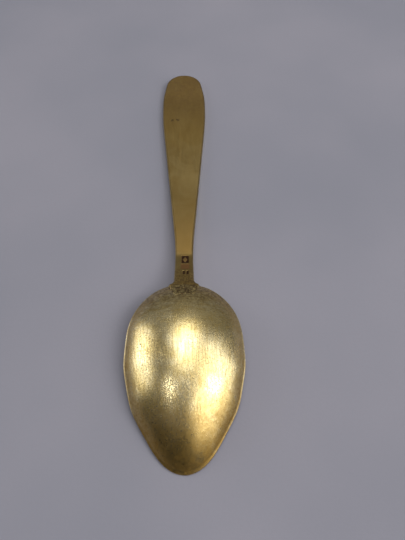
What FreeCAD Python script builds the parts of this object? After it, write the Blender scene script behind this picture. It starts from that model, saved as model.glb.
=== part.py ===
import FreeCAD, Part
import Sketcher
import math
import os

from FreeCAD import Placement, Rotation, Vector

# Souvenir teaspoon in gilt silver, lying face down: a raised bowl, a forged handle, and the seam of hard solder
# that joins the handle's foot to the heel of the bowl. Nothing on it moves.
#
# Row frame, in millimetres: +Y runs along the spoon from the tip of the bowl to the end of the handle, +X is to
# the right, +Z is up. The spoon rests on the plane Z = 0 with its back upwards, on the tip of the bowl's rim and
# on the flat front of the handle. The origin is on that plane, half way along the spoon. Stations are distances
# from the tip along Y, and heights are above the plane.
#
# The bowl's own frame has its origin at the tip, its rim in the XY plane and its back towards +Z.

X_AXIS = Vector(1, 0, 0)
Z_AXIS = Vector(0, 0, 1)
START, END, CENTRE = 1, 2, 3
ORIGIN = (-1, 1)
V_AXIS = -2

DIMENSIONS = [
    ("spoon_length", 130.4, "tip of the bowl to end of the handle"),
    ("heel_station", 44.2, "heel of the bowl, where the handle is soldered on"),
    ("heel_height", 4.24, "rim at the heel, as the spoon lies"),
    ("tip_radius", 5.2, "rim arc at the tip"),
    ("side_radius", 34.2, "rim arc of each side"),
    ("heel_radius", 13.9, "rim arc at the heel"),
    ("bowl_rise", 7.5, "height of the back above the rim"),
    ("deep_point", 24.6, "distance of the highest point from the tip, in the plane of the rim"),
    ("dome_turn", 68.0, "degrees of the elliptical arc from crown to rim, across the bowl"),
    ("wall", 0.8, "thickness of the bowl"),
    ("rim_round", 0.16, "rounding of the rim's two edges"),
    ("foot_run", 5.5, "length of the handle's blank that runs inside the bowl before it is cut to fit"),
    ("foot_front", 1.95, "front of that blank's end above the heel"),
    ("foot_back", 2.8, "back of that blank's end above the heel"),
    ("neck_station", 53.2, "bend at the bottom of the neck"),
    ("neck_front", 1.05, "height of the front at that bend"),
    ("neck_back", 3.41, "height of the back at that bend"),
    ("bend_front", 9.0, "radius of that bend on the front"),
    ("bend_back", 6.0, "radius of that bend on the back"),
    ("flat_station", 76.0, "start of the flat front"),
    ("flat_back", 2.05, "height of the back there"),
    ("flat_bend", 260.0, "radius that eases the shank into the flat"),
    ("curl_station", 117.8, "start of the curl at the end"),
    ("curl_back", 1.6, "height of the back there"),
    ("curl_bend", 110.0, "radius of the curl"),
    ("end_front", 0.7, "height of the front at the very end"),
    ("end_back", 2.05, "height of the back at the very end"),
    ("tongue_half", 2.0, "half the width of that blank's end"),
    ("foot_half", 3.9, "half the width of the foot"),
    ("foot_station", 43.55, "where the foot is widest, on the bowl's outline"),
    ("neck_half", 2.25, "half the width of the neck"),
    ("shoulder_half", 2.55, "half its width beside the foot"),
    ("shoulder_station", 44.05, "corner between foot and neck"),
    ("foot_flare", 1.4, "concave radius at that corner"),
    ("taper_station", 56, "corner between neck and taper"),
    ("taper_blend", 100, "concave radius at that corner"),
    ("blade_station", 108.4, "corner between taper and blade"),
    ("blade_blend", 112.0, "convex radius at that corner"),
    ("blade_half", 7.1, "half the width of the blade"),
    ("round_station", 119, "corner where the blade begins to close"),
    ("round_blend", 34.0, "convex radius at that corner"),
    ("end_half", 5.2, "half the width of the end, before its corners are rounded"),
    ("end_blend", 5.8, "radius of those corners"),
    ("back_round", 0.45, "rounding of the handle's back edges"),
    ("front_round", 0.25, "rounding of the handle's front edges"),
    ("mark_offset", 0.25, "square mark to the right of the middle line"),
    ("mark_lift", 0.1, "its outline is drawn this far above the back of the neck"),
    ("mark_depth", 0.2, "depth of the punch marks"),
    ("mark_wide", 0.95, "half the width of the square mark"),
    ("mark_low", 6.7, "lower edge of the square mark from the heel, along the neck"),
    ("mark_high", 9.4, "its upper edge"),
    ("relief_half", 0.42, "half the width of the lozenge left standing in it"),
    ("pit_offset", 0.42, "pair of oblong marks to the right of the middle line"),
    ("pit_half", 0.26, "half the width of a small oblong mark"),
    ("pit_apart", 0.48, "middle of each oblong mark from the middle of the pair"),
    ("pit_low", 2.7, "lower end of the oblong marks from the heel, along the neck"),
    ("pit_high", 3.9, "their upper end"),
    ("bead", 0.4, "thickness of the solder outside the seam"),
]
BOWL_LEVELS = 8  # level outlines in each form of the bowl, from the rim to the crown
LAST_SHARE = 0.96  # the highest outline, as a share of the way to the crown

doc = FreeCAD.newDocument("souvenir_spoon")


def make_sheet():
    sheet = doc.addObject("Spreadsheet::Sheet", "Dimensions")
    for row, (alias, number, meaning) in enumerate(DIMENSIONS, start=1):
        sheet.set(f"A{row}", alias)
        sheet.set(f"B{row}", str(number))
        sheet.set(f"C{row}", meaning)
        sheet.setAlias(f"B{row}", alias)
    doc.recompute()
    return sheet


dims = make_sheet()

# The bowl's length and tilt follow from where its heel is.
BOWL_LENGTH = "sqrt(Dimensions.heel_station ^ 2 + Dimensions.heel_height ^ 2)"
bowl_length = math.hypot(dims.heel_station, dims.heel_height)
rest_tilt = math.degrees(math.atan2(dims.heel_height, dims.heel_station))


# ---------------------------------------------------------------- sketching

def new_sketch(body, name, role, offset=None):
    """A sketch on the plane of the body's own origin that has this role."""
    plane = next(feature for feature in body.Origin.OriginFeatures if feature.Role == role)
    sketch = body.newObject("Sketcher::SketchObject", name)
    sketch.AttachmentSupport = [(plane, "")]
    sketch.MapMode = "FlatFace"
    sketch.AttachmentOffset = offset or Placement()
    return sketch


def drive(sketch, constraint, expression):
    """Adds a constraint whose value is worked out from the sheet."""
    number = sketch.addConstraint(constraint)
    sketch.setExpression(f"Constraints[{number}]", expression)


def arc(centre, radius, first, last):
    """A circular arc from the direction first to the direction last, in degrees, anticlockwise."""
    circle = Part.Circle(Vector(*centre, 0), Z_AXIS, radius)
    return Part.ArcOfCircle(circle, math.radians(first), math.radians(last))


def total(terms):
    """The value of a sum of sheet cells, given as (factor, alias) pairs."""
    return sum(factor * getattr(dims, alias) for factor, alias in terms)


def formula(terms):
    """The same sum as an expression."""
    return " + ".join(f"({factor}) * Dimensions.{alias}" for factor, alias in terms) or "0"


def at_station(alias):
    return [(1, alias), (-0.5, "spoon_length")]


def rounded_polygon(sketch, corners):
    """A closed outline with straight sides, drawn through corners that may be rounded.

    Each corner is (across, along, radius): three sums of cells, the last one None for a sharp corner."""
    count = len(corners)
    points = [Vector(total(across), total(along), 0) for across, along, _ in corners]
    ways = [(points[(i + 1) % count] - points[i]).normalize() for i in range(count)]
    turns = [math.atan2(ways[i - 1].cross(ways[i]).z, ways[i - 1].dot(ways[i])) for i in range(count)]
    radii = [total(radius) if radius else 0 for _, _, radius in corners]
    trims = [radius * math.tan(abs(turn) / 2) for radius, turn in zip(radii, turns)]
    for i in range(count):
        room = (points[i] - points[i - 1]).Length
        assert room > trims[i] + trims[i - 1], f"{sketch.Name} has no room for the radii at corner {i}"
    starts = [points[i] + ways[i] * trims[i] for i in range(count)]
    ends = [points[i] - ways[i - 1] * trims[i] for i in range(count)]
    sides = [sketch.addGeometry(Part.LineSegment(starts[i], ends[(i + 1) % count])) for i in range(count)]
    for i, (across, along, radius) in enumerate(corners):
        corner = sketch.addGeometry(Part.Point(points[i]), True)
        drive(sketch, Sketcher.Constraint("DistanceX", *ORIGIN, corner, START, points[i].x), formula(across))
        drive(sketch, Sketcher.Constraint("DistanceY", *ORIGIN, corner, START, points[i].y), formula(along))
        before, after = sides[i - 1], sides[i]
        if radius is None:
            sketch.addConstraint(Sketcher.Constraint("Coincident", before, END, corner, START))
            sketch.addConstraint(Sketcher.Constraint("Coincident", after, START, corner, START))
            continue
        left = turns[i] > 0
        towards = Vector(-ways[i - 1].y, ways[i - 1].x, 0) * (1 if left else -1)
        centre = ends[i] + towards * radii[i]
        first, last = (ends[i], starts[i]) if left else (starts[i], ends[i])
        angles = [math.degrees(math.atan2(p.y - centre.y, p.x - centre.x)) for p in (first, last)]
        bend = sketch.addGeometry(arc((centre.x, centre.y), radii[i], *angles))
        enters, leaves = (START, END) if left else (END, START)
        sketch.addConstraint(Sketcher.Constraint("Tangent", before, END, bend, enters))
        sketch.addConstraint(Sketcher.Constraint("Tangent", bend, leaves, after, START))
        sketch.addConstraint(Sketcher.Constraint("PointOnObject", corner, START, before))
        sketch.addConstraint(Sketcher.Constraint("PointOnObject", corner, START, after))
        drive(sketch, Sketcher.Constraint("Radius", bend, radii[i]), formula(radius))


# ---------------------------------------------------------------- the bowl

def rim_arcs(inset):
    """Radii of the rim's tip, side and heel arcs, moved inwards, and the place of the right side's centre."""
    tip, side, heel = (getattr(dims, a) - inset for a in ("tip_radius", "side_radius", "heel_radius"))
    tip_y, heel_y = dims.tip_radius, bowl_length - dims.heel_radius
    apart = heel_y - tip_y
    up = (apart**2 + (side - tip) ** 2 - (side - heel) ** 2) / (2 * apart)
    return tip, side, heel, tip_y, heel_y, math.sqrt((side - tip) ** 2 - up**2), tip_y + up


def dome_level(inset, share):
    """Scale and height of the outline that lies this share of the way from the rim to the crown.

    Across the bowl the back is an elliptical arc, and equal shares turn through equal parts of it."""
    rim = math.radians(dims.dome_turn)
    turn = rim * (1 - share)
    rise = dims.bowl_rise - inset
    return math.sin(turn) / math.sin(rim), rise * (math.cos(turn) - math.cos(rim)) / (1 - math.cos(rim))


def egg_outline(body, name, inset, share):
    """A level outline: the rim's four tangent arcs, shrunk towards the bowl's highest point."""
    scale, height = dome_level(inset, share)
    sketch = new_sketch(body, name, "XY_Plane", Placement(Vector(0, 0, height), Rotation()))
    tip, side, heel, tip_y, heel_y, reach, side_y = rim_arcs(inset)
    to_tip = math.degrees(math.atan2(side_y - tip_y, reach))
    to_heel = math.degrees(math.atan2(heel_y - side_y, reach))

    def along(y):
        return dims.deep_point + (y - dims.deep_point) * scale

    sketch.addGeometry(arc((0, along(tip_y)), tip * scale, 180 + to_tip, 360 - to_tip))
    sketch.addGeometry(arc((-reach * scale, along(side_y)), side * scale, -to_tip, to_heel))
    sketch.addGeometry(arc((0, along(heel_y)), heel * scale, to_heel, 180 - to_heel))
    sketch.addGeometry(arc((reach * scale, along(side_y)), side * scale, 180 - to_heel, 180 + to_tip))
    for edge in range(4):
        sketch.addConstraint(Sketcher.Constraint("Tangent", edge, END, (edge + 1) % 4, START))
    sketch.addConstraint(Sketcher.Constraint("PointOnObject", 0, CENTRE, V_AXIS))
    sketch.addConstraint(Sketcher.Constraint("PointOnObject", 2, CENTRE, V_AXIS))
    sketch.addConstraint(Sketcher.Constraint("Equal", 1, 3))
    for edge, alias in ((0, "tip_radius"), (1, "side_radius"), (2, "heel_radius")):
        radius = (getattr(dims, alias) - inset) * scale
        drive(sketch, Sketcher.Constraint("Radius", edge, radius), f"(Dimensions.{alias} - {inset}) * {scale}")
    for edge, y, cells in (
        (0, tip_y, "Dimensions.tip_radius"),
        (2, heel_y, f"({BOWL_LENGTH} - Dimensions.heel_radius)"),
    ):
        drive(
            sketch,
            Sketcher.Constraint("DistanceY", *ORIGIN, edge, CENTRE, along(y)),
            f"Dimensions.deep_point + ({cells} - Dimensions.deep_point) * {scale}",
        )
    return sketch


def add_dome(body, kind, name, inset):
    """Adds or removes the closed form of the bowl's back, as a loft through level outlines."""
    shares = [LAST_SHARE * level / (BOWL_LEVELS - 1) for level in range(BOWL_LEVELS)]
    outlines = [egg_outline(body, f"{name}_level_{i}", inset, share) for i, share in enumerate(shares)]
    doc.recompute()
    loft = body.newObject(kind, f"{name}_loft")
    loft.Profile = outlines[0]
    loft.Sections = outlines[1:]
    body.Tip = loft
    doc.recompute()
    return loft


def new_bowl_body(name):
    body = doc.addObject("PartDesign::Body", name)
    body.Placement = Placement(Vector(0, -dims.spoon_length / 2, 0), Rotation(X_AXIS, rest_tilt))
    return body


def make_bowl():
    body = new_bowl_body("bowl")
    outside = add_dome(body, "PartDesign::AdditiveLoft", "outside", 0)
    inside = add_dome(body, "PartDesign::SubtractiveLoft", "inside", dims.wall)
    assert inside.Shape.Volume < 0.5 * outside.Shape.Volume, "the bowl isn't hollow"
    rim = [
        f"Edge{i}"
        for i, edge in enumerate(inside.Shape.Edges, start=1)
        if max(abs(v.Point.z) for v in edge.Vertexes) < 1e-3
    ]
    fillet = body.newObject("PartDesign::Fillet", "rim_fillet")
    fillet.Base = (inside, rim)
    fillet.setExpression("Radius", "Dimensions.rim_round")
    body.Tip = fillet
    doc.recompute()
    return body


# ---------------------------------------------------------------- the handle

def side_profile(body, name, bead):
    """The handle from the side, drawn in the YZ plane: its front from bowl to end, then its back."""
    front_end = [(1, "heel_station"), (-1, "foot_run"), (-0.5, "spoon_length")]
    corners = [
        (front_end, [(1, "heel_height"), (1, "foot_front")], None),
        (at_station("neck_station"), [(1, "neck_front")], [(1, "bend_front")]),
        (at_station("flat_station"), [], [(1, "flat_bend")]),
        (at_station("curl_station"), [], [(1, "curl_bend")]),
        ([(0.5, "spoon_length")], [(1, "end_front")], None),
        ([(0.5, "spoon_length")], [(1, "end_back")] + bead, None),
        (at_station("curl_station"), [(1, "curl_back")] + bead, [(1, "curl_bend")]),
        (at_station("flat_station"), [(1, "flat_back")] + bead, [(1, "flat_bend")]),
        (at_station("neck_station"), [(1, "neck_back")] + bead, [(1, "bend_back")]),
        (front_end, [(1, "heel_height"), (1, "foot_back")] + bead, None),
    ]
    sketch = new_sketch(body, name, "YZ_Plane")
    rounded_polygon(sketch, corners)
    return sketch


def plan_outline(body, name, bead):
    """The handle from above, with a frame well outside it: what lies between them is cut away."""
    foot_y = [(1, "heel_station"), (-1, "foot_run"), (-0.5, "spoon_length")]
    less_bead = [(-factor, alias) for factor, alias in bead]
    right = [
        ([(1, "tongue_half")] + bead, foot_y, None),
        ([(1, "foot_half")] + bead, at_station("foot_station") + bead, None),
        ([(1, "shoulder_half")] + bead, at_station("shoulder_station") + bead, [(1, "foot_flare")] + less_bead),
        ([(1, "neck_half")] + bead, at_station("taper_station"), [(1, "taper_blend")]),
        ([(1, "blade_half")] + bead, at_station("blade_station"), [(1, "blade_blend")]),
        ([(1, "blade_half")] + bead, at_station("round_station"), [(1, "round_blend")]),
        ([(1, "end_half")] + bead, [(0.5, "spoon_length")], [(1, "end_blend")]),
    ]
    left = [([(-factor, alias) for factor, alias in across], along, radius) for across, along, radius in right]
    sketch = new_sketch(body, name, "XY_Plane")
    rounded_polygon(sketch, right + left[::-1])
    far = [(1, "spoon_length")]
    near = [(-1, "spoon_length")]
    rounded_polygon(sketch, [(near, near, None), (far, near, None), (far, far, None), (near, far, None)])
    return sketch


def handle_blank(name, bead):
    """The handle before its foot is cut to fit the bowl. A bead makes it that much thicker all round."""
    body = doc.addObject("PartDesign::Body", name)
    body.Placement = Placement()
    pad = body.newObject("PartDesign::Pad", f"{name}_slab")
    pad.Profile = side_profile(body, f"{name}_side", bead)
    pad.Midplane = True
    pad.setExpression("Length", "4 * Dimensions.blade_half")
    body.Tip = pad
    doc.recompute()
    trim = body.newObject("PartDesign::Pocket", f"{name}_trim")
    trim.Profile = plan_outline(body, f"{name}_plan", bead)
    trim.Type = "ThroughAll"
    trim.Midplane = True
    body.Tip = trim
    doc.recompute()
    assert trim.Shape.Volume < 0.8 * pad.Shape.Volume, "the trim cut nothing"
    return body


def side_edges(shape, upwards):
    """Names of the edges where the handle's side walls meet its back (upwards) or its front."""
    names = []
    for i, edge in enumerate(shape.Edges, start=1):
        middle = edge.valueAt((edge.FirstParameter + edge.LastParameter) / 2)
        tilts = []
        for face in shape.ancestorsOfType(edge, Part.Face):
            u, v = face.Surface.parameter(middle)
            tilts.append(face.normalAt(u, v).z)
        if min(abs(t) for t in tilts) < 0.01 and max(t if upwards else -t for t in tilts) > 0.6:
            names.append(f"Edge{i}")
    return names


def round_edges(body, name, upwards, alias):
    before = body.Tip
    fillet = body.newObject("PartDesign::Fillet", name)
    fillet.Base = (before, side_edges(before.Shape, upwards))
    fillet.setExpression("Radius", f"Dimensions.{alias}")
    body.Tip = fillet
    doc.recompute()
    assert fillet.Shape.Volume < before.Shape.Volume, f"{name} rounded nothing"


def punch(body, name, outlines):
    """Sinks a mark into the back of the neck. Its outlines are drawn in the plane of that back."""
    run = dims.neck_station - dims.heel_station + dims.foot_run
    drop = dims.heel_height + dims.foot_back - dims.neck_back
    slope = math.degrees(math.atan2(drop, run))
    heel_top = dims.neck_back + drop * (dims.neck_station - dims.heel_station) / run
    heel = Vector(0, dims.heel_station - dims.spoon_length / 2, heel_top)
    tilt = Rotation(X_AXIS, -slope)
    start = heel + tilt.multVec(Vector(0, 0, dims.mark_lift))
    sketch = new_sketch(body, f"{name}_outline", "XY_Plane", Placement(start, tilt))
    for outline in outlines:
        rounded_polygon(sketch, outline)
    before = body.Tip
    mark = body.newObject("PartDesign::Pocket", name)
    mark.Profile = sketch
    mark.setExpression("Length", "Dimensions.mark_depth + Dimensions.mark_lift")
    body.Tip = mark
    doc.recompute()
    assert mark.Shape.Volume < before.Shape.Volume, f"{name} cut nothing"


def oblong(offset, half, low, high, radius):
    """Corners of an upright oblong whose middle is this far to the right."""
    left, right = offset + [(-1, half)], offset + [(1, half)]
    rounding = [(radius, half)] if radius else None
    return [(left, low, rounding), (right, low, rounding), (right, high, rounding), (left, high, rounding)]


def make_handle(bowl_form):
    blank = handle_blank("handle_blank", [])
    round_edges(blank, "back_edges", True, "back_round")
    round_edges(blank, "front_edges", False, "front_round")
    middle = [(1, "mark_offset")]
    level = [(0.5, "mark_low"), (0.5, "mark_high")]
    lozenge = [
        (middle, level + [(-1.6, "relief_half")], None),
        (middle + [(1, "relief_half")], level, None),
        (middle, level + [(1.6, "relief_half")], None),
        (middle + [(-1, "relief_half")], level, None),
    ]
    square = oblong(middle, "mark_wide", [(1, "mark_low")], [(1, "mark_high")], 0.3)
    punch(blank, "square_mark", [square, lozenge])
    pits = [
        oblong([(1, "pit_offset"), (side, "pit_apart")], "pit_half", [(1, "pit_low")], [(1, "pit_high")], 0.9)
        for side in (-1, 1)
    ]
    punch(blank, "oblong_marks", pits)
    handle = doc.addObject("Part::Cut", "handle")
    handle.Base = blank
    handle.Tool = bowl_form
    doc.recompute()
    return handle


# ---------------------------------------------------------------- the solder

def make_seam(bowl_form, handle):
    """The bead of solder: what lies close to both the bowl's back and the handle, outside them."""
    near_bowl = new_bowl_body("near_bowl")
    add_dome(near_bowl, "PartDesign::AdditiveLoft", "near_bowl", -dims.bead)
    near_handle = handle_blank("near_handle", [(1, "bead")])
    near_both = doc.addObject("Part::Common", "near_both")
    near_both.Base = near_bowl
    near_both.Tool = near_handle
    off_bowl = doc.addObject("Part::Cut", "off_bowl")
    off_bowl.Base = near_both
    off_bowl.Tool = bowl_form
    seam = doc.addObject("Part::Cut", "solder_seam")
    seam.Base = off_bowl
    seam.Tool = handle
    doc.recompute()
    return seam


# ---------------------------------------------------------------- the spoon

bowl = make_bowl()
bowl_form = new_bowl_body("bowl_form")
add_dome(bowl_form, "PartDesign::AdditiveLoft", "form", 0)
handle = make_handle(bowl_form)
solder_seam = make_seam(bowl_form, handle)
doc.recompute()

for thing in doc.Objects:
    assert not {"Invalid", "Error"} & set(thing.State), f"{thing.Name} is {thing.State}"

os.makedirs("parts", exist_ok=True)
for piece in (bowl, handle, solder_seam):
    shape = piece.Shape
    assert not shape.isNull() and shape.isValid(), f"{piece.Label} has a bad shape"
    assert len(shape.Solids) == 1, f"{piece.Label} is {len(shape.Solids)} solids"
    shape.exportStep(f"parts/{piece.Label}.step")
    print(piece.Label, round(shape.Volume, 1), "mm3")
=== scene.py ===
import math

import bmesh
import bpy
import numpy as np
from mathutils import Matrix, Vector


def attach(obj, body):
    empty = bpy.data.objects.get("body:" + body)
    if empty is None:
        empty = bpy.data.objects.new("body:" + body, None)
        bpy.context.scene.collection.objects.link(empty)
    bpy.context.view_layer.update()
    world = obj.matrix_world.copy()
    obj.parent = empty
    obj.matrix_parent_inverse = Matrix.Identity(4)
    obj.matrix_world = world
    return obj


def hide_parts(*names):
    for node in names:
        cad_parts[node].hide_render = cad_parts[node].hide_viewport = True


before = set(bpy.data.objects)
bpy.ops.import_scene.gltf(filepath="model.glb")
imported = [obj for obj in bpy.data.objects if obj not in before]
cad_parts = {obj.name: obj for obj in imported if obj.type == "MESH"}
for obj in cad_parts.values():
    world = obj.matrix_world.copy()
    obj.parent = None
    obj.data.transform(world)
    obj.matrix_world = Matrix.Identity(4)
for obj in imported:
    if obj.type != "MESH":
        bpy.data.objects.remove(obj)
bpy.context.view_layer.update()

# A gilt souvenir teaspoon lying face down. Shapes are worked out in millimetres in the row frame:
# +Y from the tip of the bowl to the end of the handle, +Z up. Stations are distances from the tip along Y.
MM = 0.001
SPOON_LENGTH = 130.4
TIP_Y = -SPOON_LENGTH / 2

# The bowl, in its own frame: three arcs make the rim, and the back rises from it to the deep point.
HEEL_STATION, HEEL_HEIGHT = 44.2, 4.24
BOWL_LENGTH = math.hypot(HEEL_STATION, HEEL_HEIGHT)
REST_TILT = math.atan2(HEEL_HEIGHT, HEEL_STATION)
TIP_RADIUS, SIDE_RADIUS, HEEL_RADIUS = 5.2, 34.2, 13.9
BOWL_RISE, DEEP_POINT, WALL = 7.5, 24.6, 0.8
DOME_TURN = math.radians(68)
RIM_ROUND, LIP_PROUD = 0.27, 0.13
LIP_SHARE, INNER_SHARE, POLE_SHARE = 0.968, 0.965, 0.02
BOWL_AROUND, BACK_RINGS, LIP_RINGS, INSIDE_RINGS = 320, 84, 12, 56

# The handle: half widths, rounded edges, the height it loses towards its sides, how deep its foot lies under
# the bowl's back, and its worn edges and slight waves.
FOOT_STATION = 38.7
SHOULDER_HALF, NECK_HALF, BLADE_HALF, END_HALF = 2.55, 2.25, 7.1, 5.2
BACK_ROUND, FRONT_ROUND = 0.5, 0.3
CROWN = 0.14
HANDLE_COLUMNS = 121
BACK_UNDER, FRONT_UNDER = 0.35, 0.45
EDGE_WEAR = 0.22
WAVE_HEIGHT = 0.02

# The marks punched in the back of the neck: distances along it from the heel, across it, and into it.
NECK_SLOPE = math.radians(14.06)
MARK_X, MARK_HALF, MARK_LOW, MARK_HIGH, MARK_DEPTH, MARK_SOFT = 0.25, 0.95, 6.7, 9.4, 0.22, 0.07
LOZENGE_HALF, LOZENGE_LONG, LOZENGE_RISE = 0.58, 0.95, 0.85
PIT_X, PIT_APART, PIT_HALF, PIT_LOW, PIT_HIGH, PIT_DEPTH, PIT_SOFT = 0.42, 0.48, 0.26, 2.7, 3.9, 0.26, 0.09
WORN_HALF, WORN_LOW, WORN_HIGH, WORN_DEPTH, WORN_SOFT = 1.1, 4.5, 6.3, 0.035, 0.2

# The solder: the radius of its fillet, its thickness, and how much its lumps change its height.
SEAM_BLEND, SEAM_THICK, SEAM_LUMPS = 0.9, 0.25, 0.5
SEAM_GRID = 0.08


# ---------------------------------------------------------------- shape of the bowl

def rim_outline(count):
    """Points of the rim's right half from tip to heel: three tangent arcs, in the plane of the rim."""
    heel_y = BOWL_LENGTH - HEEL_RADIUS
    apart = heel_y - TIP_RADIUS
    up = (apart**2 + (SIDE_RADIUS - TIP_RADIUS) ** 2 - (SIDE_RADIUS - HEEL_RADIUS) ** 2) / (2 * apart)
    reach = math.sqrt((SIDE_RADIUS - TIP_RADIUS) ** 2 - up**2)
    low = math.atan2(up, reach)
    high = math.atan2(apart - up, reach)
    arcs = [
        (0, TIP_RADIUS, TIP_RADIUS, -math.pi / 2, -low),
        (-reach, TIP_RADIUS + up, SIDE_RADIUS, -low, high),
        (0, heel_y, HEEL_RADIUS, high, math.pi / 2),
    ]
    turns = [(x, y, r, np.linspace(a, b, count)) for x, y, r, a, b in arcs]
    return np.concatenate([np.stack([x + r * np.cos(t), y + r * np.sin(t)], 1) for x, y, r, t in turns])


def rim_harmonics(count=9):
    """The rim's distance from the deep point as a short cosine series, which irons out the arcs' joins."""
    outline = rim_outline(600)
    angle = np.arctan2(outline[:, 0], DEEP_POINT - outline[:, 1])
    reach = np.hypot(outline[:, 0], outline[:, 1] - DEEP_POINT)
    even = np.linspace(0, math.pi, 1441)
    half = np.interp(even, angle, reach)
    whole = np.concatenate([half, half[-2:0:-1]])
    series = np.fft.rfft(whole).real / len(whole)
    return np.concatenate([series[:1], 2 * series[1 : count + 1]])


HARMONICS = rim_harmonics()
# Each harmonic fades towards the crown at its own rate: the back's level lines turn from an egg to an oval.
FADES = [1, 1.8, 1, 2, 2, 2.5, 3, 3, 3, 3]


def level_radius(angle, share):
    """Distance of a level line from the deep point: share is 1 at the rim and 0 at the crown."""
    angle, share = np.broadcast_arrays(angle, share)
    terms = (h * share**fade * np.cos(k * angle) for k, (h, fade) in enumerate(zip(HARMONICS, FADES)))
    return sum(terms)


def dome_height(share):
    turn = np.arcsin(np.clip(share, 0, 1) * math.sin(DOME_TURN))
    return BOWL_RISE * (np.cos(turn) - math.cos(DOME_TURN)) / (1 - math.cos(DOME_TURN))


def to_row(points):
    """From the bowl's own frame, with its rim level and its tip at the origin, to the row frame."""
    x, y, z = np.moveaxis(np.asarray(points, float), -1, 0)
    c, s = math.cos(REST_TILT), math.sin(REST_TILT)
    return np.stack([x, TIP_Y + y * c - z * s, y * s + z * c], -1)


def to_bowl(points):
    x, y, z = np.moveaxis(np.asarray(points, float), -1, 0)
    c, s = math.cos(REST_TILT), math.sin(REST_TILT)
    y = y - TIP_Y
    return np.stack([x, y * c + z * s, z * c - y * s], -1)


def height_in_dome(points):
    """How far below the bowl's back each point is, and its share of the way out to the rim."""
    x, y, z = np.moveaxis(to_bowl(points), -1, 0)
    angle = np.arctan2(x, DEEP_POINT - y)
    reach = np.hypot(x, y - DEEP_POINT)
    share = reach / level_radius(angle, 1.0)
    for _ in range(12):
        share = share * (reach / np.maximum(level_radius(angle, share), 1e-6)) ** 0.7
        share = np.clip(share, 0, 1.6)
    return dome_height(share) - z, share


# ---------------------------------------------------------------- shape of the handle

def rounded_path(corners, steps=24):
    """Points along straight runs between corners whose radii round them. Corners are (u, v, radius)."""
    points = [np.array(c[:2], float) for c in corners]
    path = [points[0]]
    for before, here, after, (_, _, radius) in zip(points, points[1:], points[2:], corners[1:-1]):
        a = (before - here) / np.linalg.norm(before - here)
        b = (after - here) / np.linalg.norm(after - here)
        half = math.acos(np.clip(a @ b, -1, 1)) / 2
        trim = radius / math.tan(half)
        middle = (a + b) / np.linalg.norm(a + b)
        centre = here + middle * (radius / math.sin(half))
        start, end = here + a * trim - centre, here + b * trim - centre
        first, last = math.atan2(start[1], start[0]), math.atan2(end[1], end[0])
        turn = (last - first + math.pi) % (2 * math.pi) - math.pi
        for t in np.linspace(0, 1, steps):
            path.append(centre + radius * np.array([math.cos(first + turn * t), math.sin(first + turn * t)]))
    path.append(points[-1])
    return np.array(path)


# Station and height of the handle's two faces: bent at the neck, then nearly straight and curled at the end.
FRONT = rounded_path([
    (FOOT_STATION, 6.19, 0),
    (53.2, 1.05, 9),
    (76, 0, 260),
    (117.8, 0, 110),
    (SPOON_LENGTH, 0.7, 0),
])
BACK = rounded_path([
    (FOOT_STATION, 7.04, 0),
    (53.2, 3.41, 9),
    (76, 2.05, 260),
    (117.8, 1.6, 110),
    (SPOON_LENGTH, 2.05, 0),
])
# Station and half width of the handle: its foot, shoulder, neck, blade and rounded end.
OUTLINE = rounded_path([
    (FOOT_STATION, 2.0, 0),
    (43.55, 3.9, 0.5),
    (44.05, SHOULDER_HALF, 1.4),
    (56, NECK_HALF, 100),
    (108.4, BLADE_HALF, 112),
    (119, BLADE_HALF, 34),
    (SPOON_LENGTH, END_HALF, 5.8),
    (SPOON_LENGTH, 0, 0),
], steps=48)


def smooth_step(low, high, value):
    t = np.clip((value - low) / (high - low), 0, 1)
    return t * t * (3 - 2 * t)


def distance_to(path, x, y):
    """Distance from each point to a path of straight runs."""
    best = np.full(np.shape(x), 1e9)
    for (ax, ay), (bx, by) in zip(path, path[1:]):
        run_x, run_y = bx - ax, by - ay
        share = np.clip(((x - ax) * run_x + (y - ay) * run_y) / (run_x**2 + run_y**2 + 1e-12), 0, 1)
        best = np.minimum(best, np.hypot(x - ax - share * run_x, y - ay - share * run_y))
    return best


def half_width(station):
    return np.interp(station, OUTLINE[:-1, 0], OUTLINE[:-1, 1])


def edge_drop(distance, radius):
    """How far a rounded edge has fallen at a distance inside it."""
    short = np.clip(radius - distance, 0, radius)
    return radius - np.sqrt(radius**2 - short**2)


def block(x, q, half, low, high, soft):
    """1 inside a punched oblong and 0 outside, with soft walls."""
    inside = np.minimum(half - np.abs(x), np.minimum(q - low, high - q))
    return smooth_step(-soft, soft, inside)


def punch_depth(x, station):
    """Depth of the punched marks, how much dirt is in them, and how worn to copper they are."""
    q = (station - HEEL_STATION) / math.cos(NECK_SLOPE)
    side_pits = np.abs(x - PIT_X) - PIT_APART
    x = x - MARK_X
    mark = block(x, q, MARK_HALF, MARK_LOW, MARK_HIGH, MARK_SOFT)
    middle = (MARK_LOW + MARK_HIGH) / 2
    lozenge = smooth_step(-0.18, 0.12, 1 - np.abs(x) / LOZENGE_HALF - np.abs(q - middle) / LOZENGE_LONG)
    pits = block(side_pits, q, PIT_HALF, PIT_LOW, PIT_HIGH, PIT_SOFT)
    worn = block(x, q, WORN_HALF, WORN_LOW, WORN_HIGH, WORN_SOFT)
    depth = MARK_DEPTH * mark * (1 - LOZENGE_RISE * lozenge) + PIT_DEPTH * pits + WORN_DEPTH * worn
    dirt = np.clip(mark * (1 - 0.8 * lozenge) + pits, 0, 1)
    return depth, dirt, worn + 0.35 * mark * lozenge


def handle_top(x, station):
    """Height of the handle's back without its marks. Outside the outline it falls away steeply."""
    distance = distance_to(OUTLINE, station, np.abs(x))
    width = half_width(station)
    inside = np.abs(x) <= width
    level = np.interp(station, BACK[:, 0], BACK[:, 1]) - CROWN * (x / BLADE_HALF) ** 2
    return level - np.where(inside, edge_drop(distance, BACK_ROUND), BACK_ROUND + 3 * distance), distance


# ---------------------------------------------------------------- pieces

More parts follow.
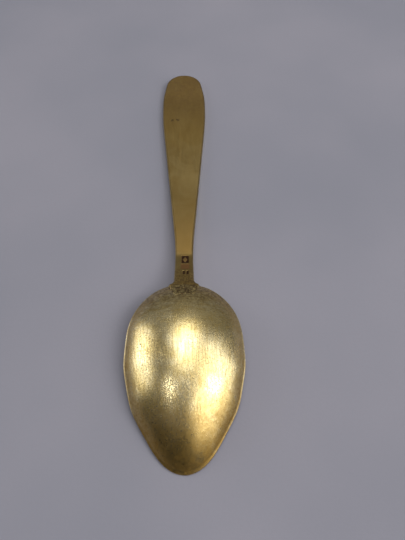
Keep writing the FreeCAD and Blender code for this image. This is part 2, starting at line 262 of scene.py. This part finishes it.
def grid_faces(rows, columns, first=0, closed=False):
    """Quads of a grid of points numbered row by row."""
    across = columns if closed else columns - 1
    row, column = np.meshgrid(np.arange(rows - 1), np.arange(across), indexing="ij")
    beside = (column + 1) % columns
    near, far = row * columns, (row + 1) * columns
    quads = [near + column, near + beside, far + beside, far + column]
    return (np.stack(quads, -1).reshape(-1, 4) + first).tolist()


def add_piece(name, points, faces, material, node, marks):
    """Makes a smooth piece from millimetres, with its wear as point attributes, in place of a CAD node."""
    mesh = bpy.data.meshes.new(name)
    mesh.from_pydata((np.asarray(points) * MM).tolist(), [], faces)
    for key, values in marks.items():
        layer = mesh.attributes.new(key, "FLOAT", "POINT")
        layer.data.foreach_set("value", np.asarray(values, np.float32))
    turned = bmesh.new()
    turned.from_mesh(mesh)
    bmesh.ops.recalc_face_normals(turned, faces=turned.faces)
    turned.to_mesh(mesh)
    turned.free()
    mesh.shade_smooth()
    mesh.materials.append(material)
    piece = bpy.data.objects.new(name, mesh)
    bpy.context.scene.collection.objects.link(piece)
    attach(piece, "root")
    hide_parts(node)


def dome_point(angle, share):
    """A point of the bowl's back in the bowl frame."""
    angle, share = np.broadcast_arrays(angle, share)
    reach = level_radius(angle, share)
    return np.stack([reach * np.sin(angle), DEEP_POINT - reach * np.cos(angle), dome_height(share)], -1)


def dome_normal(angle, share):
    step = 1e-4
    along = dome_point(angle + step, share) - dome_point(angle - step, share)
    down = dome_point(angle, share + step) - dome_point(angle, share - step)
    normal = np.cross(down, along)
    return normal / np.linalg.norm(normal, axis=-1, keepdims=True)


def bowl_rings(angle):
    """Rings of the bowl's section: from the crown over the back, round the lip, and inside to the crown."""
    outer = np.sin(np.linspace(POLE_SHARE, 1, BACK_RINGS) * math.asin(LIP_SHARE))
    rings = [dome_point(angle, share) for share in outer]
    rim = dome_point(angle, 1.0)
    outward = dome_normal(angle, 0.9999)
    steep = np.hypot(outward[:, 0], outward[:, 1])
    flat = outward * [1, 1, 0] / steep[:, None]
    up = np.array([0, 0, 1.0])
    back_from_rim = (RIM_ROUND - LIP_PROUD + RIM_ROUND * outward[:, 2]) / steep
    centre = rim + up * RIM_ROUND - flat * back_from_rim[:, None]
    for turn in np.radians(np.linspace(64, -90, LIP_RINGS)):
        rings.append(centre + RIM_ROUND * (math.cos(turn) * flat + math.sin(turn) * up))
    foot = rings[-1]
    inner = np.linspace(INNER_SHARE, POLE_SHARE, INSIDE_RINGS)
    inside = [dome_point(angle, share) - WALL * dome_normal(angle, share) for share in inner]
    corner = rim - flat * (WALL / steep)[:, None]
    for t in (0.3, 0.55, 0.8):
        rings.append(foot * (1 - t) ** 2 + corner * 2 * t * (1 - t) + inside[0] * t**2)
    return np.array(rings + inside)


def make_bowl(material):
    angle = np.arange(BOWL_AROUND) * 2 * math.pi / BOWL_AROUND
    rings = bowl_rings(angle)
    count = len(rings)
    crown = np.array([[0, DEEP_POINT, BOWL_RISE], [0, DEEP_POINT, BOWL_RISE - WALL]])
    points = to_row(np.concatenate([rings.reshape(-1, 3), crown]))
    faces = grid_faces(count, BOWL_AROUND, closed=True)
    poles = count * BOWL_AROUND
    for start, pole in ((0, poles), (poles - BOWL_AROUND, poles + 1)):
        faces += [[start + i, start + (i + 1) % BOWL_AROUND, pole] for i in range(BOWL_AROUND)]
    ring = np.repeat(np.arange(count), BOWL_AROUND)
    lip_from, lip_to = BACK_RINGS - 1.5, BACK_RINGS + LIP_RINGS + 1
    lip = smooth_step(lip_from, lip_from + 3.5, ring) * smooth_step(lip_to, lip_to - 3, ring)
    rimward = np.clip(ring / BACK_RINGS, 0, 1)
    marks = {"lip": np.append(lip, [0, 0]), "rimward": np.append(rimward, [0, 1])}
    add_piece("spoon_bowl", points, faces, material, "bowl", marks)


def handle_stations():
    """Stations of the handle's rows: close together at the marks and towards the rounded end."""
    start, marks_from, marks_to, end_from = 40.6, 45.2, 54.6, 112
    foot = np.arange(start, marks_from, 0.09)
    marked = np.arange(marks_from, marks_to, 0.055)
    shank = np.arange(marks_to, end_from, 0.55)
    end = end_from + (SPOON_LENGTH - end_from) * np.sin(np.linspace(0, math.pi / 2, 70))
    return np.concatenate([foot, marked, shank, end])


def keep_out_of_hollow(points, deep):
    """Where the foot lies under the bowl's back it follows it inside the wall."""
    depth, share = height_in_dome(points)
    points[..., 2] += np.where(share < 1, np.maximum(depth - deep, 0), 0)
    return points


def skirt_faces(rows, columns):
    """Quads that join the border of one grid of points to the same border of a second grid below it."""
    total = rows * columns
    sides = [np.arange(rows) * columns, np.arange(rows) * columns + columns - 1]
    ends = [np.arange(columns), (rows - 1) * columns + np.arange(columns)]
    faces = []
    for run in sides + ends:
        faces += [[a, b, b + total, a + total] for a, b in zip(run[:-1].tolist(), run[1:].tolist())]
    return faces


def make_handle(material):
    station = handle_stations()[:, None]
    across = np.sin(np.linspace(-math.pi / 2, math.pi / 2, HANDLE_COLUMNS))[None, :]
    x = half_width(station) * across
    station = np.broadcast_to(station, x.shape)
    y = TIP_Y + station
    top, distance = handle_top(x * 0.99999, station)
    depth, dirt, worn = punch_depth(x, station)
    waves = WAVE_HEIGHT * np.sin(station / 7.3 + 0.4) * np.sin(x / 3.1 + station / 19)
    high = top - depth + waves * smooth_step(56, 62, station)
    low = np.interp(station, FRONT[:, 0], FRONT[:, 1]) + edge_drop(distance, FRONT_ROUND)
    back = keep_out_of_hollow(np.stack([x, y, high], -1), BACK_UNDER)
    front = keep_out_of_hollow(np.stack([x, y, low], -1), FRONT_UNDER)
    points = np.concatenate([back.reshape(-1, 3), front.reshape(-1, 3)])
    rows, columns = x.shape
    faces = grid_faces(rows, columns) + grid_faces(rows, columns, first=rows * columns)
    faces += skirt_faces(rows, columns)
    edge = np.exp(-distance / EDGE_WEAR)
    foot = smooth_step(52, 44.5, station)
    clean = np.zeros(x.size)
    marks = {
        "edge": np.concatenate([edge.ravel(), edge.ravel()]),
        "dirt": np.concatenate([dirt.ravel(), clean]),
        "worn": np.concatenate([0.8 * worn.ravel(), clean]),
        "foot": np.concatenate([foot.ravel(), foot.ravel()]),
    }
    add_piece("spoon_handle", points, faces, material, "handle", marks)


def soft_maximum(a, b, blend):
    """The higher of two heights, with the corner between them filled by a fillet."""
    near = np.clip(0.5 + (a - b) / (2 * blend), 0, 1)
    return b + (a - b) * near + blend * near * (1 - near)


def seam_surface(x, y):
    """Height of the solder's surface on a grid, and where on the grid there is any."""
    station = y - TIP_Y
    handle, _ = handle_top(x, station)
    bowl = np.stack([x, y, 0 * x], -1)
    for _ in range(3):
        depth, share = height_in_dome(bowl)
        bowl[..., 2] += depth
    dome = bowl[..., 2] - np.maximum(share - 1, 0) * 60
    lumps = np.sin(x * 2.9 + 1.3 * np.sin(y * 2.1)) * np.sin(y * 3.3 + x)
    corner = np.maximum(handle, dome)
    proud = soft_maximum(handle, dome, SEAM_BLEND) - corner
    proud = proud * (1 + SEAM_LUMPS * lumps)
    filled = corner + proud
    above_rim = filled > bowl[..., 2] - 0.02
    on_spoon = (share < 0.995) | (np.abs(x) < half_width(station))
    return filled, (proud > 0.006) & (station > 39) & above_rim & on_spoon


def make_seam(material):
    """The solder that fills the corner between the handle's foot and the bowl's back, as a thin fillet."""
    x, y = np.meshgrid(np.arange(-6.6, 6.61, SEAM_GRID), np.arange(-28.5, -18.4, SEAM_GRID))
    filled, keep = seam_surface(x, y)
    cells = keep[:-1, :-1] & keep[1:, :-1] & keep[:-1, 1:] & keep[1:, 1:]
    quads = np.array(grid_faces(*x.shape))[cells.ravel()]
    used, quads = np.unique(quads, return_inverse=True)
    quads = quads.reshape(-1, 4)
    top = np.stack([x, y, filled], -1).reshape(-1, 3)[used]
    bottom = top - [0, 0, SEAM_THICK]
    count = len(top)
    faces = quads.tolist() + (quads + count)[:, ::-1].tolist()
    faces += [[a, b, b + count, a + count] for a, b in border_edges(quads)]
    points = np.concatenate([top, bottom])
    add_piece("spoon_seam", points, faces, material, "solder_seam", {})


def border_edges(quads):
    """Edges that only one of the quads uses, each in that quad's direction."""
    pairs = np.concatenate([quads[:, [i, (i + 1) % 4]] for i in range(4)])
    keys = np.sort(pairs, axis=1)
    _, where, number = np.unique(keys, axis=0, return_index=True, return_counts=True)
    return pairs[where[number == 1]].tolist()


# ---------------------------------------------------------------- materials

class Surface:
    """A material under construction: add() makes a node, and a socket given as a value is linked."""

    def __init__(self, name):
        self.material = bpy.data.materials.new(name)
        self.material.use_nodes = True
        self.tree = self.material.node_tree
        self.shader = self.tree.nodes["Principled BSDF"]

    def add(self, kind, inputs=(), output=0, **settings):
        node = self.tree.nodes.new("ShaderNode" + kind)
        for key, value in settings.items():
            setattr(node, key, value)
        for key, value in dict(inputs).items():
            self.give(node.inputs[key], value)
        return node.outputs[output]

    def give(self, socket, value):
        if isinstance(value, bpy.types.NodeSocket):
            self.tree.links.new(value, socket)
        else:
            socket.default_value = value

    def math(self, operation, a, b=0.0, c=0.0):
        return self.add("Math", {0: a, 1: b, 2: c}, operation=operation)

    def ramp(self, value, low, high, out_low=0.0, out_high=1.0):
        """Maps low..high to out_low..out_high with a smooth curve, clamped."""
        inputs = {"Value": value, "From Min": low, "From Max": high, "To Min": out_low, "To Max": out_high}
        return self.add("MapRange", inputs, interpolation_type="SMOOTHSTEP")

    def mix(self, amount, a, b):
        node = self.tree.nodes.new("ShaderNodeMix")
        node.data_type = "RGBA"
        for socket, value in zip([node.inputs[0], node.inputs[6], node.inputs[7]], [amount, a, b]):
            self.give(socket, value)
        return node.outputs[2]

    def millimetres(self, scale=(1, 1, 1)):
        """Object coordinates in millimetres, stretched by scale."""
        point = self.add("TexCoord", output=3)
        return self.add("Mapping", {"Vector": point, "Scale": [1000 * s for s in scale]})

    def along(self, point):
        return self.add("SeparateXYZ", {"Vector": point}, output=1)

    def noise(self, point, scale, detail=2.0, rough=0.5, twist=0.0):
        inputs = {"Vector": point, "Scale": scale, "Detail": detail, "Roughness": rough, "Distortion": twist}
        return self.add("TexNoise", inputs)

    def mark(self, name):
        """Wear or dirt stored on the mesh's points."""
        return self.add("Attribute", output=2, attribute_name=name)

    def times(self, a, b):
        return self.math("MULTIPLY", a, b)

    def plus(self, base, value, factor):
        """base plus factor times value"""
        return self.math("MULTIPLY_ADD", value, factor, base)

    def bump(self, height, distance, under=None):
        inputs = {"Height": height, "Distance": distance * MM, "Strength": 1.0}
        if under is not None:
            inputs["Normal"] = under
        return self.add("Bump", inputs)

    def finish(self, **inputs):
        for key, value in inputs.items():
            self.give(self.shader.inputs[key.replace("_", " ")], value)
        return self.material


def colour(red, green, blue):
    return (red, green, blue, 1.0)


# The bowl's gilding, from bright to worn and tarnished.
PALE_GOLD = colour(0.91, 0.79, 0.47)
DEEP_GOLD = colour(0.77, 0.62, 0.29)
DARK_GOLD = colour(0.50, 0.36, 0.12)
LIP_GOLD = colour(0.86, 0.75, 0.48)
TIP_BROWN = colour(0.40, 0.24, 0.055)
BROWN = colour(0.36, 0.225, 0.065)
HEEL_STAIN = colour(0.16, 0.10, 0.045)
BLACK_BROWN = colour(0.10, 0.065, 0.035)

# The handle's gilding, painted much darker than the bowl's as painted shade for the dim room it reflects,
# its tarnish and what lies in its marks.
OLIVE_SHADED_GOLD = colour(0.315, 0.225, 0.085)
OLIVE_SHADED_BROWN = colour(0.26, 0.172, 0.055)
# Shank, blade and end tones: painted shade and painted light along the handle; the end's brown is also
# tarnish.
SHANK_SHADED_GOLD = colour(0.31, 0.19, 0.055)
BLADE_LIT_GOLD = colour(0.37, 0.24, 0.068)
END_TARNISH_AND_SHADE = colour(0.22, 0.13, 0.055)
STREAK_BROWN = colour(0.22, 0.15, 0.05)
FOOT_STAIN = colour(0.11, 0.07, 0.03)
FOOT_GOLD = colour(0.55, 0.42, 0.17)
EDGE_GOLD = colour(0.62, 0.49, 0.24)
WORN_COPPER = colour(0.30, 0.15, 0.06)
DIRT = colour(0.030, 0.015, 0.009)

SOLDER_GOLD = colour(0.60, 0.47, 0.20)
SOLDER_BROWN = colour(0.14, 0.09, 0.04)
CARD_COOL = colour(0.224, 0.224, 0.260)
CARD_WARM = colour(0.264, 0.256, 0.292)
CARD_TOOTH = colour(0.22, 0.22, 0.25)


def bowl_brushing(s, along):
    """Polishing streaks that run along the bowl and turn into arcs across it by the heel."""
    streaks = s.noise(s.millimetres((4.0, 0.16, 2.4)), 1.0, 5, 0.75)
    arcs = s.noise(s.millimetres((0.16, 1.3, 1.3)), 1.0, 5, 0.75)
    return s.add("Mix", {0: s.ramp(along, -40.0, -27.0), 2: streaks, 3: arcs})


def bowl_rust(s, along, blotches, mottle):
    """Brown tarnish: a little everywhere, more by the rim, most at the tip."""
    rimward = s.ramp(s.mark("rimward"), 0.55, 1.0)
    tip = s.ramp(along, -42.0, -58.0)
    amount = s.plus(s.plus(0.16, tip, 0.60), rimward, 0.80)
    uneven = s.times(s.ramp(blotches, 0.34, 0.72, 0.4, 0.9), s.ramp(mottle, 0.35, 0.65, 0.65, 1.2))
    return s.times(uneven, amount)


def bowl_lip_shine(s, along, blotches):
    """The lip is rubbed bright, unevenly, but hardly at the tip."""
    uneven = s.ramp(blotches, 0.35, 0.6, 0.85, 0.3)
    off_tip = s.plus(1.0, s.ramp(along, -42.0, -58.0), -0.9)
    return s.times(s.mark("lip"), s.times(uneven, off_tip))


def bowl_tone(s, plain, along, brushed, specks, rust, blotches, mottle):
    clouds = s.noise(plain, 0.11, 4, 0.6, 0.6)
    tone = s.mix(s.ramp(clouds, 0.34, 0.66), PALE_GOLD, DEEP_GOLD)
    tone = s.mix(s.ramp(brushed, 0.42, 0.64, 0.0, 0.75), tone, DARK_GOLD)
    tone = s.mix(rust, tone, BROWN)
    tone = s.mix(s.ramp(along, -47.0, -60.0, 0.0, 0.6), tone, TIP_BROWN)
    tone = s.mix(s.times(specks, 0.75), tone, BROWN)
    pits = s.ramp(s.noise(plain, 2.3, 3, 0.7), 0.58, 0.72, 0.0, 0.6)
    tone = s.mix(pits, tone, BLACK_BROWN)
    stain = s.times(s.ramp(along, -33.0, -23.5, 0.0, 0.75), s.ramp(mottle, 0.42, 0.60))
    tone = s.mix(stain, tone, HEEL_STAIN)
    return s.mix(bowl_lip_shine(s, along, blotches), tone, LIP_GOLD)


def gilt_bowl():
    """Worn gilding on the bowl: streaks, fine dark grain, brown tarnish by the rim and a bright lip."""
    s = Surface("gilt_bowl")
    plain = s.millimetres()
    along = s.along(plain)
    blotches = s.noise(plain, 0.42, 6, 0.7, 0.4)
    mottle = s.noise(plain, 1.5, 4, 0.75, 0.3)
    brushed = bowl_brushing(s, along)
    grain = s.noise(plain, 3.0, 4, 0.8)
    spread = s.ramp(s.noise(plain, 0.14, 4, 0.6, 0.6), 0.36, 0.62, 0.35, 1.0)
    specks = s.times(s.ramp(grain, 0.50, 0.66), spread)
    rust = bowl_rust(s, along, blotches, mottle)
    tone = bowl_tone(s, plain, along, brushed, specks, rust, blotches, mottle)
    rough = s.plus(0.17, s.ramp(brushed, 0.3, 0.75), 0.10)
    rough = s.plus(rough, rust, 0.20)
    rough = s.plus(rough, specks, 0.25)
    hairs = s.noise(s.millimetres((8.0, 0.4, 5.0)), 1.0, 3, 0.6)
    normal = s.bump(s.noise(plain, 0.10, 2, 0.4), 0.06)
    normal = s.bump(brushed, 0.013, normal)
    normal = s.bump(hairs, 0.003, normal)
    normal = s.bump(grain, 0.014, normal)
    normal = s.bump(s.math("SUBTRACT", 1.0, specks), 0.010, normal)
    return s.finish(Base_Color=tone, Metallic=1.0, Roughness=rough, Normal=normal)


def handle_gilding_and_shade(s, plain, blotches, streaks, specks):
    """Olive gilding, warmer and a little darker on the shank, warmer and lighter on the blade, browner
    towards the end, darker in its streaks. The shank tone is painted shade, the blade tone is painted light,
    and the end's brown is partly tarnish, partly painted shade.
    """
    along = s.along(plain)
    clouds = s.noise(plain, 0.13, 4, 0.6, 0.8)
    # Base olive gilding: its olive-brown is tarnish, and its darkness against the bowl is painted shade.
    tone = s.mix(s.ramp(clouds, 0.32, 0.68), OLIVE_SHADED_GOLD, OLIVE_SHADED_BROWN)
    # Painted shade: the shank is painted warmer and a little darker.
    shank = s.times(s.ramp(along, 12.0, -6.0), s.ramp(along, -13.5, -9.5))
    tone = s.mix(s.times(shank, 0.7), tone, SHANK_SHADED_GOLD)
    # Painted light: the blade is painted warmer and lighter.
    tone = s.mix(s.ramp(along, 22.0, 40.0, 0.0, 0.6), tone, BLADE_LIT_GOLD)
    # Towards the end the brown is tarnish and painted shade together.
    end = s.times(s.ramp(along, 34.0, 56.0), s.ramp(blotches, 0.3, 0.7, 0.35, 1.0))
    tone = s.mix(s.times(end, 0.6), tone, END_TARNISH_AND_SHADE)
    tone = s.mix(s.ramp(streaks, 0.5, 0.8, 0.0, 0.3), tone, STREAK_BROWN)
    return s.mix(s.times(specks, 0.4), tone, BROWN)


def handle_wear(s, tone, plain, blotches, mottle, stain, dirt):
    """Stains and bright grains on the foot, rubbed edges, a worn patch, dirt in the marks, and two pits."""
    tone = s.mix(stain, tone, FOOT_STAIN)
    shine = s.times(s.mark("foot"), s.ramp(mottle, 0.42, 0.28, 0.0, 0.8))
    tone = s.mix(shine, tone, FOOT_GOLD)
    rubbed = s.times(s.mark("edge"), s.ramp(blotches, 0.35, 0.65, 0.6, 0.25))
    tone = s.mix(rubbed, tone, EDGE_GOLD)
    tone = s.mix(s.mark("worn"), tone, WORN_COPPER)
    tone = s.mix(dirt, tone, DIRT)
    return s.mix(tarnish_pits(s, plain), tone, BLACK_BROWN)


def gilt_handle():
    """Gilding on the handle, painted darker than the bowl's as painted shade, with dark dirt in the marks
    and bright edges.
    """
    s = Surface("gilt_handle")
    plain = s.millimetres()
    blotches = s.noise(plain, 0.6, 5, 0.65, 0.4)
    mottle = s.noise(plain, 1.5, 4, 0.75, 0.3)
    streaks = s.noise(s.millimetres((3.8, 0.14, 3.0)), 1.0, 5, 0.7)
    grain = s.noise(plain, 3.1, 4, 0.75)
    specks = s.ramp(s.noise(plain, 1.6, 5, 0.8), 0.63, 0.74)
    dirt = s.mark("dirt")
    stain = s.times(s.mark("foot"), s.ramp(mottle, 0.42, 0.60, 0.0, 0.9))
    tone = handle_gilding_and_shade(s, plain, blotches, streaks, specks)
    tone = handle_wear(s, tone, plain, blotches, mottle, stain, dirt)
    rough = s.plus(0.28, s.ramp(streaks, 0.3, 0.75), 0.10)
    rough = s.plus(rough, stain, 0.2)
    rough = s.plus(rough, dirt, 0.3)
    normal = s.bump(s.noise(plain, 0.14, 2, 0.4), 0.05)
    normal = s.bump(streaks, 0.007, normal)
    normal = s.bump(grain, 0.014, normal)
    normal = s.bump(s.math("SUBTRACT", 1.0, specks), 0.012, normal)
    metal = s.math("SUBTRACT", 1.0, dirt)
    return s.finish(Base_Color=tone, Metallic=metal, Roughness=rough, Normal=normal, Specular_IOR_Level=0.0)


def tarnish_pits(s, plain):
    """Two small dark pits near the end of the handle's back."""
    wobble = s.noise(plain, 1.7, 2)
    spots = []
    for x, y, size in ((-3.9, 42.3, 0.75), (-2.1, 42.5, 0.9)):
        away = s.add("VectorMath", {0: plain, 1: (x, y, 2.0)}, output=1, operation="DISTANCE")
        away = s.math("ADD", away, s.plus(-0.6, wobble, 1.2))
        spots.append(s.ramp(away, size, size * 0.3, 0.0, 0.8))
    return s.math("MAXIMUM", *spots)


def gilt_solder():
    """Solder with thin, mottled gilding: grainy, pitted, with brown in the hollows."""
    s = Surface("gilt_solder")
    plain = s.millimetres()
    mottle = s.noise(plain, 1.5, 4, 0.75, 0.3)
    grain = s.noise(plain, 3.4, 4, 0.75)
    pits = s.ramp(s.noise(plain, 2.2, 4, 0.7), 0.58, 0.70)
    tone = s.mix(s.ramp(mottle, 0.36, 0.58), SOLDER_GOLD, SOLDER_BROWN)
    tone = s.mix(s.times(pits, 0.7), tone, BLACK_BROWN)
    rough = s.plus(0.26, mottle, 0.25)
    normal = s.bump(mottle, 0.05)
    normal = s.bump(grain, 0.018, normal)
    normal = s.bump(s.math("SUBTRACT", 1.0, pits), 0.02, normal)
    return s.finish(Base_Color=tone, Metallic=1.0, Roughness=rough, Normal=normal)


def matte_card():
    """Pale grey-lavender card, with a faint cloudiness and a fine tooth."""
    s = Surface("pale_card")
    plain = s.millimetres()
    clouds = s.noise(plain, 0.012, 3, 0.5)
    tooth = s.noise(plain, 1.3, 3, 0.6)
    tone = s.mix(s.ramp(clouds, 0.3, 0.7), CARD_COOL, CARD_WARM)
    tone = s.mix(s.ramp(tooth, 0.3, 0.8, 0.0, 0.12), tone, CARD_TOOTH)
    return s.finish(Base_Color=tone, Roughness=0.85, Normal=s.bump(tooth, 0.03), Specular_IOR_Level=0.0)


# ---------------------------------------------------------------- floor, light and camera

FLOOR_REACH, FLOOR_DROP = 3.0, 0.00003
PANEL_DISTANCE = 2.0
BACKDROP = 0.30


def make_floor(material):
    mesh = bpy.data.meshes.new("floor")
    corners = [(-1, -1), (1, -1), (1, 1), (-1, 1)]
    points = [(x * FLOOR_REACH, y * FLOOR_REACH, -FLOOR_DROP) for x, y in corners]
    mesh.from_pydata(points, [], [[0, 1, 2, 3]])
    mesh.materials.append(material)
    floor = bpy.data.objects.new("floor", mesh)
    bpy.context.scene.collection.objects.link(floor)


def soft_panel(name, heading, elevation, width, height, radiance, round_shape=False, nearer=0.0):
    """A studio panel facing the spoon. Heading is from +Y towards +X.

    Width and height are the angles it fills seen from the spoon, in degrees. A panel that is nearer hides
    what it covers of the one behind it.
    """
    distance = PANEL_DISTANCE - nearer
    h, e = math.radians(heading), math.radians(elevation)
    toward = Vector((math.cos(e) * math.sin(h), math.cos(e) * math.cos(h), math.sin(e)))
    light = bpy.data.lights.new(name, "AREA")
    light.shape = "ELLIPSE" if round_shape else "RECTANGLE"
    light.size = 2 * distance * math.tan(math.radians(width / 2))
    light.size_y = 2 * distance * math.tan(math.radians(height / 2))
    area = light.size * light.size_y * (math.pi / 4 if round_shape else 1)
    light.energy = math.pi * area * radiance
    panel = bpy.data.objects.new(name, light)
    panel.location = toward * distance
    panel.rotation_euler = toward.to_track_quat("Z", "Y").to_euler()
    panel.visible_camera = False
    bpy.context.scene.collection.objects.link(panel)


def make_world():
    """A dim room, lighter on the far side and overhead than on the near side, with a plain pale backdrop."""
    world = bpy.data.worlds.new("room")
    bpy.context.scene.world = world
    world.use_nodes = True
    nodes, links = world.node_tree.nodes, world.node_tree.links
    place = nodes.new("ShaderNodeTexCoord")
    lean = nodes.new("ShaderNodeVectorMath")
    lean.operation = "DOT_PRODUCT"
    lean.inputs[1].default_value = (0, 0.55, 0.8)
    spread = nodes.new("ShaderNodeMapRange")
    spread.interpolation_type = "LINEAR"
    for key, value in {"From Min": -0.15, "From Max": 1.0, "To Min": 0.035, "To Max": 0.265}.items():
        spread.inputs[key].default_value = value
    links.new(place.outputs["Generated"], lean.inputs[0])
    links.new(lean.outputs["Value"], spread.inputs["Value"])
    background = nodes["Background"]
    background.inputs["Color"].default_value = colour(1.0, 0.99, 1.0)
    seen = nodes.new("ShaderNodeMix")
    seen.inputs[3].default_value = BACKDROP
    links.new(nodes.new("ShaderNodeLightPath").outputs["Is Camera Ray"], seen.inputs[0])
    links.new(spread.outputs[0], seen.inputs[2])
    links.new(seen.outputs[0], background.inputs["Strength"])


def make_lights():
    """Soft panels above, to the right and to the left, most with a brighter core, and one small lamp."""
    soft_panel("panel_above", 6, 75, 40, 40, 1.75, round_shape=True)
    soft_panel("core_above", 7, 73, 15, 22, 3.0, round_shape=True, nearer=0.01)
    soft_panel("panel_right", 107, 36, 49, 66, 2.0)
    soft_panel("panel_tail", 142, 47, 17, 38, 1.7, nearer=-0.01)
    soft_panel("core_right", 106, 41, 13, 20, 10.0, round_shape=True, nearer=0.01)
    soft_panel("panel_left", -78, 13, 37, 50, 1.5)
    soft_panel("core_left", -78, 21, 14, 23, 2.2, round_shape=True, nearer=0.01)
    soft_panel("lamp_left", -125, 64, 7, 7, 12.0, round_shape=True)


def make_camera():
    data = bpy.data.cameras.new("camera")
    data.sensor_width = 36
    data.lens = 29.33
    data.clip_start = 0.005
    camera = bpy.data.objects.new("camera", data)
    camera.location = (0.00344, -0.07438, 0.10249)
    camera.rotation_euler = (math.radians(90 - 59.66), 0, math.radians(-1.31))
    bpy.context.scene.collection.objects.link(camera)
    bpy.context.scene.camera = camera


make_bowl(gilt_bowl())
make_handle(gilt_handle())
make_seam(gilt_solder())
make_floor(matte_card())
make_world()
make_lights()
make_camera()
bpy.context.scene.view_settings.view_transform = "Standard"
